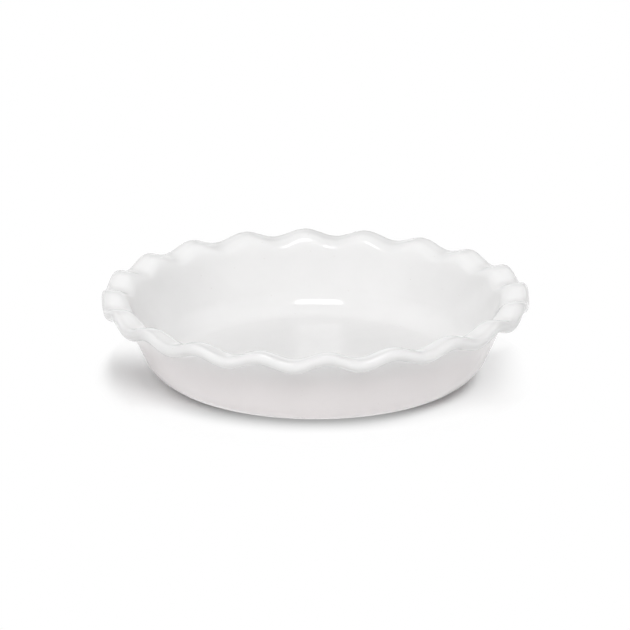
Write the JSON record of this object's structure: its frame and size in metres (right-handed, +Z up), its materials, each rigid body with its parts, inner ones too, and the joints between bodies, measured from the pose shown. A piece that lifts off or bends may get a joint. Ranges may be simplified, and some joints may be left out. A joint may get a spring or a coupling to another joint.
{
  "type": "clafoutis dish",
  "caption": "Round shallow glazed stoneware baking dish with a leaning wall, a ruffled rim flange and a bare foot ring, for clafoutis, pies and tarts.",
  "frame": {"origin": "on the table, under the middle of the dish", "axes": "+Z up along the dish's axis, +X and +Y level; the ruffle's first crest is 3.1 degrees from +X"},
  "size_m": [0.265, 0.265, 0.0552],
  "materials": {
    "bare_clay": "bare fired stoneware, matt and slightly grainy",
    "white_glaze": "white gloss glaze"
  },
  "bodies": {
    "root": {"stoneware_body": "bare_clay", "glaze_coat": "white_glaze", "base_glaze": "white_glaze"}
  },
  "joints": []
}
